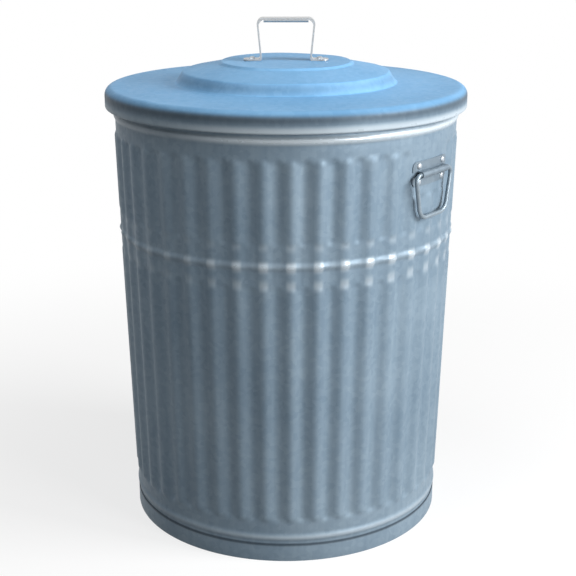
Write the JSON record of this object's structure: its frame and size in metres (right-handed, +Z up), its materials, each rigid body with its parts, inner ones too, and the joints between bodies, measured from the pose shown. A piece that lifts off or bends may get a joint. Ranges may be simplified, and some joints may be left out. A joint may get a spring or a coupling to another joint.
{
  "type": "galvanized trash can with lid",
  "caption": "Tapered round steel trash can with vertical flutes, wired rim, drop handles and a stepped lift-off lid with a strap handle.",
  "frame": {"origin": "centre of the base, on the floor", "axes": "+Z up through the can's axis; +X and -X through the two drop handles; the wall's lock seam is at +Y"},
  "size_m": [0.5394, 0.5394, 0.7643],
  "materials": {
    "galvanized_wall": "hot-dip galvanized sheet, dull spangle",
    "galvanized_lid": "galvanized sheet, smooth and sky-blue in its reflection",
    "galvanized_wire": "galvanized wire, satin",
    "galvanized_plate": "pressed galvanized plate, satin",
    "handle_strap": "bright zinc-plated strap",
    "rivet_steel": "zinc-plated rivets, satin"
  },
  "bodies": {
    "can": {"body_shell": "galvanized_wall", "rim_wire": "galvanized_wire", "bottom_pan": "galvanized_wall", "right_handle_plate": "galvanized_plate", "right_plate_rivets": "rivet_steel", "left_handle_plate": "galvanized_plate", "left_plate_rivets": "rivet_steel"},
    "lid": {"lid_shell": "galvanized_lid", "lid_handle": "handle_strap", "lid_handle_rivets": "rivet_steel"},
    "right_bail": {"right_handle_bail": "galvanized_wire"},
    "left_bail": {"left_handle_bail": "galvanized_wire"}
  },
  "joints": [
    {"name": "lid_lift", "type": "slide", "parent": "can", "child": "lid", "axis": [0, 0, 1], "range_m": [0, 0.4]},
    {"name": "right_bail_swing", "type": "hinge", "parent": "can", "child": "right_bail", "pos_m": [0.26003, 0, 0.56684], "axis": [0, -1, 0], "range_deg": [0, 170]},
    {"name": "left_bail_swing", "type": "hinge", "parent": "can", "child": "left_bail", "pos_m": [-0.26003, 0, 0.56684], "axis": [0, 1, 0], "range_deg": [0, 170]}
  ]
}
